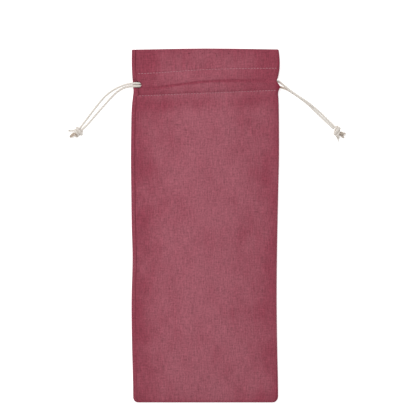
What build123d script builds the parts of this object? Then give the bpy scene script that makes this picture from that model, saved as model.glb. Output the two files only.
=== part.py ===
from build123d import *
import os
from math import atan2, pi, tan

# A flat cotton drawstring bag for a bottle, lying empty on its back. X runs across the bag, Y from its
# bottom seam to its mouth and Z up from the surface it lies on. The origin is the middle of its underside.

# Driving dimensions, in millimetres
BAG_WIDTH = 150.0          # flat width, side fold to side fold
BAG_LENGTH = 360.0         # bottom seam to top edge
CLOTH = 0.45               # one ply of the cotton
CORD_DIAMETER = 2.2
CORD_PLAY = 0.2            # clearance round a cord in its channel
MOUTH_GAP = 0.6            # between the two hems at the side folds
CROWN = 5.6                # how far the middle of the front stands above the side folds
SHOULDER = 10.0            # flat stretch of the front beside each side fold
BOTTOM_THICKNESS = 3.0     # of the bag at its bottom seam
BOTTOM_RISE = 45.0         # length over which the bag thickens from its bottom seam
BOTTOM_CORNER = 5.0        # corner radius beside the bottom seam
HEADER = 20.3              # top edge to the upper channel stitching
CHANNEL = 24.0             # upper to lower channel stitching
NECK = 49.0                # top edge to the part of the bag that the cords never gather
HEM_FOOT = 2.4             # hem below the lower stitching
STEP_INSET = 1.2           # channel stitching to the nearer end of the space for the cords

SEAM_TO_FOLD = 4.0         # side seam to side fold: left seam on the front, right seam on the back
ALLOWANCE = 9.0            # width of the seam allowances inside
ALLOWANCE_GAP = 0.6        # between an allowance and the next piece along
OVERLOCK_WIDTH = 4.0
THREAD = 0.25              # thickness of a thread lying on cloth
THREAD_WIDTH = 0.45
STITCH = 2.6
STITCH_GAP = 0.6

SLIT_MOUTH_TO_FOLD = 10.5  # side fold to the edge of the cut cloth at a slit
SLIT_START = 1.8           # lower stitching to the slit
SLIT_LENGTH = 16.0
SLIT_HEM = 0.45            # thickness of the pressed strip under the cords at a slit
PIN_HOLES, PIN_HOLE_PITCH, PIN_HOLE_DIAMETER = 4, 13.6, 0.9
PIN_HOLE_DEPTH, PIN_HOLE_SHIFT = 4.7, 3.8  # below the top edge, and right of the middle

# Where the four runs of cord lie above the lower stitching. Each cord goes round both channels.
LEFT_FRONT_RUN, LEFT_BACK_RUN = 9.9, 6.3
RIGHT_FRONT_RUN, RIGHT_BACK_RUN = 5.7, 10.7
LOOP_TO_FOLD = 0.25        # outside of a cord's loop to the side fold
EXIT_PAST_FOLD = 0.5       # where a run of cord becomes a free tail
RUN_STEPS = 8              # straight stretches in a run of cord over the crown
RUN_BEND = 30.0            # radius of the bends between them
KNOT_DIAMETER = 9.4

# Free tails: how far each point lies from the tail's exit in X and Y, and its height above the surface.
# They follow the exit itself and the end of the straight stretch out of it.
EXIT_STRAIGHT = 5.0
LEFT_TAIL_FRONT = [
    (-11.5, -4.2, 3.4), (-19.3, -8.6, 1.3), (-26.3, -13.4, 1.15), (-32.1, -20.0, 1.15),
    (-38.1, -27.6, 1.15), (-44.1, -35.6, 1.15), (-49.5, -42.7, 1.4), (-52.9, -47.6, 3.4),
]
LEFT_TAIL_BACK = [
    (-10.5, -2.8, 1.2), (-16.5, -7.4, 1.15), (-22.5, -13.8, 1.15), (-29.0, -21.2, 1.15),
    (-35.1, -28.1, 1.15), (-40.7, -34.8, 1.15), (-45.7, -40.4, 1.4), (-50.1, -44.6, 3.4),
]
RIGHT_TAIL_FRONT = [
    (11.5, -4.0, 3.5), (16.8, -9.4, 1.5), (22.5, -14.5, 1.15), (29.1, -19.4, 1.15),
    (34.9, -25.0, 1.15), (41.1, -31.6, 1.15), (47.4, -37.5, 1.15), (53.1, -42.5, 1.6), (56.9, -44.5, 3.4),
]
RIGHT_TAIL_BACK = [
    (10.5, -4.0, 1.2), (16.4, -9.4, 1.15), (22.8, -14.6, 1.15), (29.7, -19.4, 1.15),
    (36.8, -24.8, 1.15), (43.9, -30.8, 1.15), (50.5, -37.5, 1.15), (56.1, -43.8, 1.4), (59.1, -47.8, 3.4),
]
# Knots, and the short ends past them, from the exit of the side's front tail
LEFT_KNOT, LEFT_KNOT_TURN = (-53.1, -49.5), 233.0
RIGHT_KNOT, RIGHT_KNOT_TURN = (58.8, -44.8), -46.0
LEFT_ENDS = [
    [(-54.0, -50.5, 3.4), (-58.0, -52.8, 2.6), (-62.3, -54.8, 1.4)],
    [(-55.0, -48.8, 4.4), (-60.0, -48.0, 3.6), (-64.0, -49.6, 1.6)],
]
RIGHT_ENDS = [
    [(60.2, -45.8, 3.4), (63.6, -48.4, 2.6), (66.8, -51.6, 1.4)],
    [(58.8, -47.0, 3.2), (60.2, -51.2, 2.2), (62.0, -55.2, 1.3)],
]

# What follows from them
CHANNEL_DEPTH = CORD_DIAMETER + 2 * CORD_PLAY
FACING_OUT = CLOTH + CHANNEL_DEPTH          # outside of the bag to the hem behind the cords
FACING_IN = FACING_OUT + CLOTH
SIDE_HEIGHT = 2 * FACING_IN + MOUTH_GAP     # of the side folds
HEIGHT = SIDE_HEIGHT + CROWN
SIDE_RADIUS = SIDE_HEIGHT / 2
FOLD_X = BAG_WIDTH / 2
ROUND_X = FOLD_X - SIDE_RADIUS
CROWN_X = ROUND_X - SHOULDER
TOP_Y = BAG_LENGTH / 2
UPPER_STITCH_Y = TOP_Y - HEADER
LOWER_STITCH_Y = UPPER_STITCH_Y - CHANNEL
NECK_Y = TOP_Y - NECK
SEAM_X = FOLD_X - SEAM_TO_FOLD
SLIT_X = FOLD_X - SLIT_MOUTH_TO_FOLD
STEP_LOW_Y = LOWER_STITCH_Y + STEP_INSET
STEP_HIGH_Y = UPPER_STITCH_Y - STEP_INSET
BACK_RUN_Z = CLOTH + CHANNEL_DEPTH / 2
FRONT_RUN_Z = SIDE_HEIGHT - BACK_RUN_Z
EXIT_X = FOLD_X + EXIT_PAST_FOLD
FAR = BAG_LENGTH                            # past every face of the bag


def block(x0, x1, y0, y1, z0, z1):
    """A box between two corners."""
    return Pos((x0 + x1) / 2, (y0 + y1) / 2, (z0 + z1) / 2) * Box(x1 - x0, y1 - y0, z1 - z0)


def prism(inset, y0, y1):
    """The bag's cross-section, moved inwards by inset: flat below, crowned above, round at the side folds."""
    low, high, middle = inset, SIDE_HEIGHT - inset, SIDE_HEIGHT / 2
    reach = FOLD_X - inset
    outline = (
        Line((-ROUND_X, low), (ROUND_X, low))
        + ThreePointArc((ROUND_X, low), (reach, middle), (ROUND_X, high))
        + Line((ROUND_X, high), (CROWN_X, high))
        + ThreePointArc((CROWN_X, high), (0, high + CROWN), (-CROWN_X, high))
        + Line((-CROWN_X, high), (-ROUND_X, high))
        + ThreePointArc((-ROUND_X, high), (-reach, middle), (-ROUND_X, low))
    )
    return extrude(make_face(Plane.XZ.offset(-y0) * outline), amount=y1 - y0, dir=(0, 1, 0))


def body(inset, y1):
    """The whole bag below y1, moved inwards by inset: thinner towards the bottom seam, with round corners."""
    start, end, rise_end = -TOP_Y + inset, y1, -TOP_Y + inset + BOTTOM_RISE
    low, seam_top, top = inset, BOTTOM_THICKNESS - inset, HEIGHT - inset
    side = (
        Line((start, seam_top), (start, low))
        + Line((start, low), (end, low))
        + Line((end, low), (end, top))
        + Line((end, top), (rise_end, top))
        + ThreePointArc((rise_end, top), ((start + rise_end) / 2, top - (top - seam_top) / 4), (start, seam_top))
    )
    profile = extrude(make_face(Plane.YZ * side), amount=FAR, both=True)
    corner = max(BOTTOM_CORNER - inset, CLOTH)
    width, length = BAG_WIDTH - 2 * inset, end + FAR - start
    plan = Pos(0, start + length / 2) * RectangleRounded(width, length, corner)
    return prism(inset, start, end) & profile & extrude(plan, amount=FAR)


def neck_ring(outer, inner, y0, y1):
    """A tube of cloth in the neck between two insets."""
    return prism(outer, y0, y1) - prism(inner, y0, y1)


def front_side(split_z):
    """The space of the front panel: it reaches the left seam on top, and goes round the right fold."""
    above = block(-SEAM_X, FAR, -FAR, FAR, split_z, FAR)
    return above + block(SEAM_X, FAR, -FAR, FAR, -FAR, split_z)


def slits():
    """The openings that the cords leave by: the left one opens on the front, the right one on the back."""
    y0, y1, middle = LOWER_STITCH_Y + SLIT_START, LOWER_STITCH_Y + SLIT_START + SLIT_LENGTH, SIDE_RADIUS
    return [
        block(-FAR, -SLIT_X, y0, y1, middle, FAR),
        block(-FAR, -SEAM_X, y0, y1, -FAR, FAR),
        block(SLIT_X, FAR, y0, y1, -FAR, middle),
        block(SEAM_X, FAR, y0, y1, -FAR, FAR),
    ]


def pin_holes():
    """Four small holes through the header, as a cloth's woven edge has."""
    first = PIN_HOLE_SHIFT - PIN_HOLE_PITCH * (PIN_HOLES - 1) / 2
    hole = Cylinder(PIN_HOLE_DIAMETER / 2, FAR)
    return [Pos(first + PIN_HOLE_PITCH * n, TOP_Y - PIN_HOLE_DEPTH, 0) * hole for n in range(PIN_HOLES)]


def stitches(x0, x1, y0, y1, z0, z1):
    """A row of stitches along X or Y, whichever is longer, as separate boxes."""
    pitch = STITCH + STITCH_GAP
    across = x1 - x0 > y1 - y0
    row = []
    for n in range(int(max(x1 - x0, y1 - y0) // pitch)):
        if across:
            row.append(block(x0 + pitch * n, x0 + pitch * n + STITCH, y0, y1, z0, z1))
        else:
            row.append(block(x0, x1, y0 + pitch * n, y0 + pitch * n + STITCH, z0, z1))
    return Compound(children=row)


def cut(shape, tools):
    """shape without any of the tools."""
    for tool in tools:
        shape = shape - tool
    return shape


def save(shape, name):
    """One STEP file for one piece, or for one group of equal pieces."""
    export_step(Compound(children=list(shape.solids())), f"parts/{name}.step")


def panels():
    """The two cloth panels below the neck. They meet at the side seams and along the bottom seam."""
    shell = body(0, NECK_Y) - body(CLOTH, NECK_Y + CLOTH)
    front = front_side(BOTTOM_THICKNESS / 2)
    save(shell & front, "front_panel")
    save(shell - front, "back_panel")


def neck():
    """The gathered end of the same cloth: an outer ply each side, and its hem turned in to make the channel."""
    front, openings = front_side(SIDE_RADIUS), slits()
    outer = neck_ring(0, CLOTH, NECK_Y, TOP_Y)
    hem = (
        neck_ring(CLOTH, 2 * CLOTH, STEP_HIGH_Y + CLOTH, TOP_Y)
        + neck_ring(CLOTH, FACING_IN, STEP_HIGH_Y, STEP_HIGH_Y + CLOTH)
        + neck_ring(FACING_OUT, FACING_IN, STEP_LOW_Y, STEP_HIGH_Y)
        + neck_ring(CLOTH, FACING_IN, STEP_LOW_Y - CLOTH, STEP_LOW_Y)
        + neck_ring(CLOTH, 2 * CLOTH, LOWER_STITCH_Y - HEM_FOOT, STEP_LOW_Y - CLOTH)
    )
    save(cut(outer & front, openings + pin_holes()), "front_neck")
    save(cut(outer - front, openings), "back_neck")
    save(cut(hem & front, openings + pin_holes()), "front_hem")
    save(cut(hem - front, openings), "back_hem")


def slit_hems():
    """The pressed strips that back the slits, between the two runs of cord that leave there."""
    y0, y1 = LOWER_STITCH_Y + SLIT_START, LOWER_STITCH_Y + SLIT_START + SLIT_LENGTH
    inner_x, outer_x = SLIT_X - CORD_DIAMETER, SEAM_X - CORD_PLAY
    save(block(-outer_x, -inner_x, y0, y1, FACING_IN, FACING_IN + SLIT_HEM), "left_slit_hem")
    crown = prism(FACING_IN, y0, y1) - Pos(0, 0, -SLIT_HEM) * prism(FACING_IN, y0, y1)
    save(crown & block(inner_x, outer_x, y0, y1, SIDE_RADIUS, FAR), "right_slit_hem")


def allowances():
    """The seam allowances inside, two plies each, with the stitching and the overlocked edge of each."""
    start_y, edge_y = -TOP_Y + 2 * CLOTH, -TOP_Y + 2 * CLOTH + ALLOWANCE
    low_y, high_y = edge_y + ALLOWANCE_GAP, NECK_Y - ALLOWANCE_GAP
    inner_x, cover_x = SEAM_X - ALLOWANCE, SEAM_X - ALLOWANCE + OVERLOCK_WIDTH
    plies = body(CLOTH, NECK_Y) - body(3 * CLOTH, NECK_Y)
    wrapped = body(CLOTH, NECK_Y) - body(3 * CLOTH + THREAD, NECK_Y)
    split_z = 4 * CLOTH
    for side, name, z0, z1 in ((-1, "left", split_z, FAR), (1, "right", -FAR, split_z)):
        def strip(x0, x1):
            """The space between two distances from the middle, on this seam's face of the bag."""
            return block(min(side * x0, side * x1), max(side * x0, side * x1), low_y, high_y, z0, z1)
        allowance = plies & strip(inner_x, SEAM_X)
        save(allowance, f"{name}_seam_allowance")
        save((wrapped & strip(inner_x - THREAD, cover_x)) - allowance, f"{name}_overlock")
        seam_x = sorted((side * (SEAM_X - THREAD_WIDTH), side * (SEAM_X - 2 * THREAD_WIDTH)))
        row = stitches(*seam_x, low_y, high_y, 0, HEIGHT)
        save(allowance & row, f"{name}_seam_stitching")
    ends = inner_x - ALLOWANCE_GAP
    flat = (CLOTH, 3 * CLOTH)
    save(block(-SEAM_X + CLOTH, ends, start_y, edge_y, *flat), "bottom_seam_allowance")
    over = block(-SEAM_X + CLOTH, ends, edge_y - OVERLOCK_WIDTH, edge_y + THREAD, flat[1], flat[1] + THREAD)
    save(over + block(-SEAM_X + CLOTH, ends, edge_y, edge_y + THREAD, *flat), "bottom_overlock")
    row = stitches(-SEAM_X + 2 * CLOTH, ends, start_y + THREAD_WIDTH, start_y + 2 * THREAD_WIDTH, *flat)
    save(row, "bottom_seam_stitching")


def channel_stitching():
    """The two rows on each side that close the channel, through the outer ply and the hem."""
    crown = prism(0, NECK_Y, TOP_Y) - Pos(0, 0, -2 * CLOTH) * prism(0, NECK_Y, TOP_Y)
    for y, name in ((UPPER_STITCH_Y, "upper"), (LOWER_STITCH_Y, "lower")):
        edges = y - THREAD_WIDTH / 2, y + THREAD_WIDTH / 2
        row = stitches(-SLIT_X, SEAM_X, *edges, SIDE_RADIUS, 2 * HEIGHT)
        save(crown & row, f"front_{name}_stitching")
        row = stitches(-SEAM_X, SLIT_X, *edges, 0, 2 * CLOTH)
        save(row, f"back_{name}_stitching")


def tube_path(points, name, largest=float("inf")):
    """Straight runs joined by arcs as large as the runs allow, up to a largest; prints the arcs' radii."""
    points = [Vector(*p) for p in points]
    radii = []
    for before, here, after in zip(points, points[1:], points[2:]):
        first, second = here - before, after - here
        turn = atan2(first.cross(second).length, first.dot(second))
        radii.append(min(largest, 0.45 * min(first.length, second.length) / tan(turn / 2)))
    if name:
        print(name, "arc radii mm", [round(r, 1) for r in radii])
    return FilletPolyline(*points, radius=radii)


def tube(path, name):
    """A round cord along a path; prints its length and how its volume compares with section times length."""
    wire = Wire(path.edges()) if not isinstance(path, Wire) else path
    section = Plane(origin=wire @ 0, z_dir=wire % 0) * Circle(CORD_DIAMETER / 2)
    cord = sweep(section, path=wire)
    share = cord.volume / (pi * CORD_DIAMETER ** 2 / 4 * wire.length)
    print(name, "length mm", round(wire.length, 1), "volume share", round(share, 4))
    return cord


def crown_z(x, z):
    """Height of a line that is z high at the side folds and follows the crown."""
    return z + CROWN * max(0.0, 1 - (x / CROWN_X) ** 2)


def channel_cord(side, front_y, back_y, name):
    """One cord in both channels: in at its own side's front, round a loop at the other side, and back."""
    front_y, back_y = LOWER_STITCH_Y + front_y, LOWER_STITCH_Y + back_y
    loop_radius = ((FRONT_RUN_Z - BACK_RUN_Z) ** 2 + (front_y - back_y) ** 2) ** 0.5 / 2
    loop_x = FOLD_X - LOOP_TO_FOLD - CORD_DIAMETER / 2 - loop_radius
    step = 2 * CROWN_X / RUN_STEPS
    over = [CROWN_X - step * n for n in range(RUN_STEPS + 1)]
    xs = [side * x for x in (EXIT_X, *over, -loop_x)]
    front = tube_path([(x, front_y, crown_z(x, FRONT_RUN_Z)) for x in xs], None, RUN_BEND)
    middle = (-side * (loop_x + loop_radius), (front_y + back_y) / 2, (FRONT_RUN_Z + BACK_RUN_Z) / 2)
    loop = ThreePointArc((-side * loop_x, front_y, FRONT_RUN_Z), middle, (-side * loop_x, back_y, BACK_RUN_Z))
    back = Line((-side * loop_x, back_y, BACK_RUN_Z), (side * EXIT_X, back_y, BACK_RUN_Z))
    return tube(Wire([*front.edges(), *loop.edges(), *back.edges()]), name)


def knot(side, place, turn, front_y):
    """An overhand knot tied in both tails together: two fat wraps round a core, lying on the surface."""
    wrap = KNOT_DIAMETER / 2 - CORD_DIAMETER
    wraps = [Pos(0, 0, z) * Torus(wrap, CORD_DIAMETER) for z in (-CORD_DIAMETER, CORD_DIAMETER)]
    core = Cylinder(wrap + CORD_DIAMETER / 2, 3 * CORD_DIAMETER)
    x, y = side * EXIT_X + place[0], front_y + place[1]
    return Pos(x, y, KNOT_DIAMETER / 2) * Rot(0, 0, turn) * Rot(0, 90, 0) * (core + wraps[0] + wraps[1])


def drawcord(side, name, front, back, tail_front, tail_back, knot_place, knot_turn, ends):
    """One drawcord: the run in the channels, its two tails, the knot that joins them and the short ends."""
    front_y, back_y = LOWER_STITCH_Y + front, LOWER_STITCH_Y + back
    save(channel_cord(side, front, back, f"{name}_cord_run"), f"{name}_cord_run")
    for part, y, z, tail in (("front", front_y, FRONT_RUN_Z, tail_front), ("back", back_y, BACK_RUN_Z, tail_back)):
        route = [(side * EXIT_X, y, z), (side * (EXIT_X + EXIT_STRAIGHT), y, z)]
        route += [(side * EXIT_X + dx, y + dy, height) for dx, dy, height in tail]
        title = f"{name}_tail_{part}"
        save(tube(tube_path(route, title), title), title)
    save(knot(side, knot_place, knot_turn, front_y), f"{name}_knot")
    tips = []
    for end in ends:
        route = [(side * EXIT_X + dx, front_y + dy, height) for dx, dy, height in end]
        tips.append(tube(tube_path(route, None), f"{name}_end"))
    save(Compound(children=tips), f"{name}_cord_ends")


os.makedirs("parts", exist_ok=True)
panels()
neck()
slit_hems()
allowances()
channel_stitching()
drawcord(
    -1, "left", LEFT_FRONT_RUN, LEFT_BACK_RUN, LEFT_TAIL_FRONT, LEFT_TAIL_BACK,
    LEFT_KNOT, LEFT_KNOT_TURN, LEFT_ENDS,
)
drawcord(
    1, "right", RIGHT_FRONT_RUN, RIGHT_BACK_RUN, RIGHT_TAIL_FRONT, RIGHT_TAIL_BACK,
    RIGHT_KNOT, RIGHT_KNOT_TURN, RIGHT_ENDS,
)
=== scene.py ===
# %% [markdown]
# # A cotton gift bag for a bottle, laid flat
#
# The real thing is one narrow bag of burgundy cotton, hemmed at its mouth, with a channel for two
# off-white cords whose ends are knotted in pairs. The engineering model already says where every piece
# is. Here each soft piece gets its looks, as a thin sheet of cloth or a real cord, in the same place.
# Only the cords' hidden turns inside the channels lie a little further in.

# %% The frame and the tools
import math

import bpy
import numpy as np
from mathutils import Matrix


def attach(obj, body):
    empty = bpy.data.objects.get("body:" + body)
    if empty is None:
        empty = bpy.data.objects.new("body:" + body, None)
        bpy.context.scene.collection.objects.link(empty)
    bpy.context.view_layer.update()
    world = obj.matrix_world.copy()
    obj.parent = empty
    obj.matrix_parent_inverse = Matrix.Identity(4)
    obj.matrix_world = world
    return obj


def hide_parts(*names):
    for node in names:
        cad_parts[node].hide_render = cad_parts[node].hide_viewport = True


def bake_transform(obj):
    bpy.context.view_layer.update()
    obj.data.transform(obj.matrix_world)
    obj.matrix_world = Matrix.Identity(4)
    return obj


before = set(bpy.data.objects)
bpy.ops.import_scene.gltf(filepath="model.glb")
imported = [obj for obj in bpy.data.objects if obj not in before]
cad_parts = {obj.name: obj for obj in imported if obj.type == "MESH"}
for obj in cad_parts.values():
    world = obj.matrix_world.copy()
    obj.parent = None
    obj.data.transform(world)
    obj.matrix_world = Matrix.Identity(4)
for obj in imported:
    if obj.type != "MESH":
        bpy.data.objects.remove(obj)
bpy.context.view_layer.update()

# %% [markdown]
# ## Camera
#
# The bag is seen from straight above through a long lens, so that its sides stay parallel. A Blender
# camera with no rotation already looks down, with +Y upwards in the picture.

# %% Camera
MM = 0.001
VIEW_ACROSS = 423.8 * MM
CAMERA_PLACE = (2.95 * MM, 18.2 * MM, 2.4)
SENSOR = 36.0

camera = bpy.data.objects.new("camera", bpy.data.cameras.new("camera"))
bpy.context.scene.collection.objects.link(camera)
camera.location = CAMERA_PLACE
camera.data.sensor_width = SENSOR
camera.data.lens = SENSOR * CAMERA_PLACE[2] / VIEW_ACROSS
camera.data.clip_end = 20
bpy.context.scene.camera = camera
print("lens", round(camera.data.lens), "mm")

# %% [markdown]
# ## Light and floor
#
# A product like this is shown on bright white, with hardly a shadow. A wide soft lamp from the upper
# left gives the folds their shape, an even sky fills the rest, and the floor glows a little itself so
# that it stays white. The world has no picture in it, only one colour.

# %% Light and floor
SKY_STRENGTH = 0.62
LAMP_PLACE = (-0.75, 0.95, 1.9)
LAMP_SIZE = 1.1
LAMP_POWER = 26.0
FLOOR_GLOW = 0.6
FLOOR_DROP = 0.25 * MM
FLOOR_HALF = 3.0
WHITE = (1.0, 1.0, 1.0, 1.0)
FLOOR_MATT = (0.8, 0.8, 0.8, 1.0)

scene = bpy.context.scene
scene.view_settings.view_transform = "Standard"
scene.world = bpy.data.worlds.new("studio")
scene.world.use_nodes = True
sky = scene.world.node_tree.nodes["Background"]
sky.inputs["Color"].default_value = WHITE
sky.inputs["Strength"].default_value = SKY_STRENGTH

lamp = bpy.data.objects.new("lamp", bpy.data.lights.new("lamp", "AREA"))
scene.collection.objects.link(lamp)
lamp.location = LAMP_PLACE
lamp.rotation_euler = (
    -math.atan2(LAMP_PLACE[1], LAMP_PLACE[2]),
    math.atan2(LAMP_PLACE[0], LAMP_PLACE[2]),
    0.0,
)
lamp.data.size = LAMP_SIZE
lamp.data.energy = LAMP_POWER

floor_mesh = bpy.data.meshes.new("floor")
floor_mesh.from_pydata(
    [(x * FLOOR_HALF, y * FLOOR_HALF, -FLOOR_DROP) for x, y in ((-1, -1), (1, -1), (1, 1), (-1, 1))],
    [],
    [(0, 1, 2, 3)],
)
floor = bpy.data.objects.new("floor", floor_mesh)
scene.collection.objects.link(floor)
print("floor and lamp placed")

# %% [markdown]
# ## Writing materials as sums
#
# A material's pattern is arithmetic on coordinates. Wiring each Math node by hand hides the sum, so a
# small class wraps a socket: adding or multiplying two of them adds the node and its wires.


# %% A socket that can be added and multiplied
class Wire:
    """One output of a node in a material; arithmetic on it adds Math nodes."""

    def __init__(self, tree, socket):
        self.tree = tree
        self.socket = socket

    def node(self, kind, settings, inputs, output=0):
        """A new node: its settings first, then values or wires for its sockets, and one of its outputs."""
        made = self.tree.nodes.new("ShaderNode" + kind)
        for name, value in settings.items():
            setattr(made, name, value)
        for key, value in inputs.items():
            if isinstance(value, Wire):
                self.tree.links.new(value.socket, made.inputs[key])
            else:
                made.inputs[key].default_value = value
        return Wire(self.tree, made.outputs[output])

    def math(self, operation, *values):
        inputs = dict(enumerate((self, *values)))
        return self.node("Math", {"operation": operation}, inputs)

    def __add__(self, other):
        return self.math("ADD", other)

    def __sub__(self, other):
        return self.math("SUBTRACT", other)

    def __mul__(self, other):
        return self.math("MULTIPLY", other)

    def __rsub__(self, other):
        return self.node("Math", {"operation": "SUBTRACT"}, {0: other, 1: self})

    __radd__ = __add__
    __rmul__ = __mul__

    def between(self, low, high):
        """0 below low, 1 above high, and smooth in between."""
        settings = {"interpolation_type": "SMOOTHSTEP"}
        return self.node("MapRange", settings, {"Value": self, "From Min": low, "From Max": high})

    def mix(self, first, second):
        """A colour between two, by this number."""
        settings = {"data_type": "RGBA", "clamp_factor": True}
        return self.node("Mix", settings, {0: self, 6: first, 7: second}, 2)

    def noise(self, across, along, detail=2.0):
        """Cloudy noise from 0 to 1 whose blobs are across by along millimetres, read from this vector."""
        scale = (PER_MM / across, PER_MM / along, PER_MM / across)
        placed = self.node("Mapping", {}, {"Vector": self, "Scale": scale})
        return placed.node("TexNoise", {}, {"Vector": placed, "Scale": 1.0, "Detail": detail})

    def part(self, axis):
        """One coordinate of this vector: 0 across the piece, 1 along it."""
        return self.node("SeparateXYZ", {}, {"Vector": self}, axis)

    def shade(self, label):
        """A number that the mesh carries at its points."""
        return self.node("Attribute", {"attribute_name": label}, {}, 2)

    def scaled(self, factor):
        """This colour, lighter or darker."""
        return self.node("VectorMath", {"operation": "SCALE"}, {0: self, "Scale": factor})

    def bump(self, strength, distance):
        """A surface direction from this height; distance in metres."""
        return self.node("Bump", {}, {"Height": self, "Strength": strength, "Distance": distance})


PER_MM = 100.0  # the cloth's own map counts in lengths of 100 mm


def begin(name):
    """A new material and a wire to start sums from, on the piece's own map of its surface."""
    material = bpy.data.materials.new(name)
    material.use_nodes = True
    tree = material.node_tree
    tree.nodes.clear()
    uv = tree.nodes.new("ShaderNodeUVMap")
    uv.uv_map = "Surface"
    return material, Wire(tree, uv.outputs["UV"])


def end(material, wire, inputs):
    """Closes a material with a Principled surface of these inputs."""
    surface = wire.node("BsdfPrincipled", {}, inputs)
    output = wire.tree.nodes.new("ShaderNodeOutputMaterial")
    wire.tree.links.new(surface.socket, output.inputs["Surface"])
    return material


print("the Wire class is ready")

# %% [markdown]
# The floor's surface is matt white with a glow added. It is written with the same class.

# %% Floor material
floor_material, floor_wire = begin("pale_floor")
matt = floor_wire.node("BsdfDiffuse", {}, {"Color": FLOOR_MATT})
glow = floor_wire.node("Emission", {}, {"Color": WHITE, "Strength": FLOOR_GLOW})
both = floor_wire.node("AddShader", {}, {0: matt, 1: glow})
floor_output = both.tree.nodes.new("ShaderNodeOutputMaterial")
both.tree.links.new(both.socket, floor_output.inputs["Surface"])
floor_mesh.materials.append(floor_material)
print("floor material ready")

# %% [markdown]
# ## The cords' routes
#
# Each cord goes round both channels of the neck, and its two tails leave the bag together and are
# knotted. A tail is limp: it drops off the edge of the bag, lies on the table in a loose curve and
# climbs into its knot. A NURBS curve with a few points is the natural way to draw that, because its
# line bends gently between them. The tube is made afterwards, along points read from the curve.

# %% Routes of the four tails
CORD_DIAMETER = 2.2 * MM

TAILS = {
    "left_front_tail": [
        (-75.5, 144.7, 5.9), (-80.5, 143.9, 5.6), (-87.0, 141.6, 3.9), (-94.8, 137.8, 1.4),
        (-101.8, 132.3, 1.15), (-107.6, 125.6, 1.15), (-113.6, 118.0, 1.15), (-119.6, 110.0, 1.15),
        (-125.0, 102.9, 1.4), (-128.4, 98.0, 3.4),
    ],
    "left_back_tail": [
        (-75.5, 142.1, 5.1), (-80.5, 141.5, 3.1), (-86.0, 139.0, 1.3), (-92.0, 134.6, 1.15),
        (-98.0, 128.2, 1.15), (-104.5, 120.8, 1.15), (-110.6, 113.9, 1.15), (-116.2, 107.2, 1.15),
        (-121.2, 101.6, 1.4), (-125.6, 97.4, 3.4),
    ],
    "right_front_tail": [
        (75.5, 141.4, 1.5), (79.8, 140.6, 1.3), (85.0, 138.0, 1.15), (91.6, 133.6, 1.15),
        (97.9, 129.2, 1.15), (104.0, 124.4, 1.15), (109.6, 118.9, 1.15), (114.9, 114.0, 1.15),
        (120.6, 108.5, 1.15), (126.3, 103.1, 1.6), (130.6, 99.0, 3.4),
    ],
    "right_back_tail": [
        (75.5, 146.8, 1.9), (79.3, 143.9, 2.4), (84.0, 139.8, 3.3), (91.4, 134.2, 3.4),
        (98.3, 129.9, 3.4), (105.0, 125.4, 3.2), (111.8, 120.0, 1.9), (118.2, 114.5, 1.15),
        (124.4, 108.2, 1.15), (130.0, 102.8, 1.4), (133.4, 99.4, 3.4),
    ],
}


def spline_line(name, route):
    """Points along the smooth NURBS line that has the route's points, in mm, as its control points."""
    curve = bpy.data.curves.new(name, "CURVE")
    curve.dimensions = "3D"
    spline = curve.splines.new("NURBS")
    spline.points.add(len(route) - 1)
    for point, place in zip(spline.points, route):
        point.co = (*(MM * value for value in place), 1.0)
    spline.order_u = 3
    spline.use_endpoint_u = True
    spline.resolution_u = 16
    drawn = bpy.data.objects.new(name, curve)
    scene.collection.objects.link(drawn)
    bpy.context.view_layer.update()
    line = bpy.data.meshes.new_from_object(drawn)
    points = np.zeros(len(line.vertices) * 3)
    line.vertices.foreach_get("co", points)
    bpy.data.objects.remove(drawn)
    return points.reshape(-1, 3)


def distance_along(points):
    """How far along its line each point is, from 0 at the first."""
    return np.concatenate([[0], np.cumsum(np.linalg.norm(np.diff(points, axis=0), axis=1))])


tail_lines = {name: spline_line(name + "_line", route) for name, route in TAILS.items()}
for name, line in tail_lines.items():
    print(name, "is", round(float(distance_along(line)[-1]) / MM, 1), "mm long")

# %% [markdown]
# ## Meshes from grids
#
# Every new piece is a grid of points worked out with numpy. One helper puts a grid and the faces
# between its points into a mesh, with a map of the surface for the weave, and attributes that say
# how much painted shade darkens the cloth, and where a cord is browned by soil and painted shade.


# %% From a grid to a mesh
def grid_faces(rows, columns, around=False):
    """The corners of the faces of a grid of points, closed round its columns if asked."""
    across = columns if around else columns - 1
    row, column = np.meshgrid(np.arange(rows - 1), np.arange(across), indexing="ij")
    here = row * columns
    above = here + columns
    right = (column + 1) % columns
    return np.stack([here + column, here + right, above + right, above + column], -1)


def rod_faces(count, steps, sides, inside_out=False):
    """The faces of many closed rods, each a grid of steps by sides with a cap at both ends."""
    first = (np.arange(count) * steps * sides)[:, None, None, None]
    walls = (grid_faces(steps, sides, around=True)[None] + first).reshape(-1, 4)[:, ::-1]
    near = np.arange(sides)[None] + first[:, 0, 0]
    far = (near + (steps - 1) * sides)[:, ::-1]
    faces = [*walls.tolist(), *near.tolist(), *far.tolist()]
    return [face[::-1] for face in faces] if inside_out else faces


def make_mesh(name, points, faces, surface, material, shades=()):
    """A piece from points in mm, four-cornered faces, and each point's place on the surface map in mm."""
    mesh = bpy.data.meshes.new(name)
    faces = [list(face) for face in faces]
    mesh.from_pydata((points.reshape(-1, 3) * MM).tolist(), [], faces)
    layer = mesh.uv_layers.new(name="Surface")
    corner = np.zeros(len(mesh.loops), dtype=int)
    mesh.loops.foreach_get("vertex_index", corner)
    layer.uv.foreach_set("vector", (surface.reshape(-1, 2)[corner] / PER_MM).astype(np.float32).ravel())
    for label, values in shades:
        attribute = mesh.attributes.new(label, "FLOAT", "POINT")
        attribute.data.foreach_set("value", values.astype(np.float32).ravel())
    mesh.shade_smooth()
    mesh.materials.append(material)
    piece = bpy.data.objects.new(name, mesh)
    scene.collection.objects.link(piece)
    return piece


def unit(vectors):
    return vectors / np.maximum(np.linalg.norm(vectors, axis=-1, keepdims=True), 1e-12)


print("grids become meshes")

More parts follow.
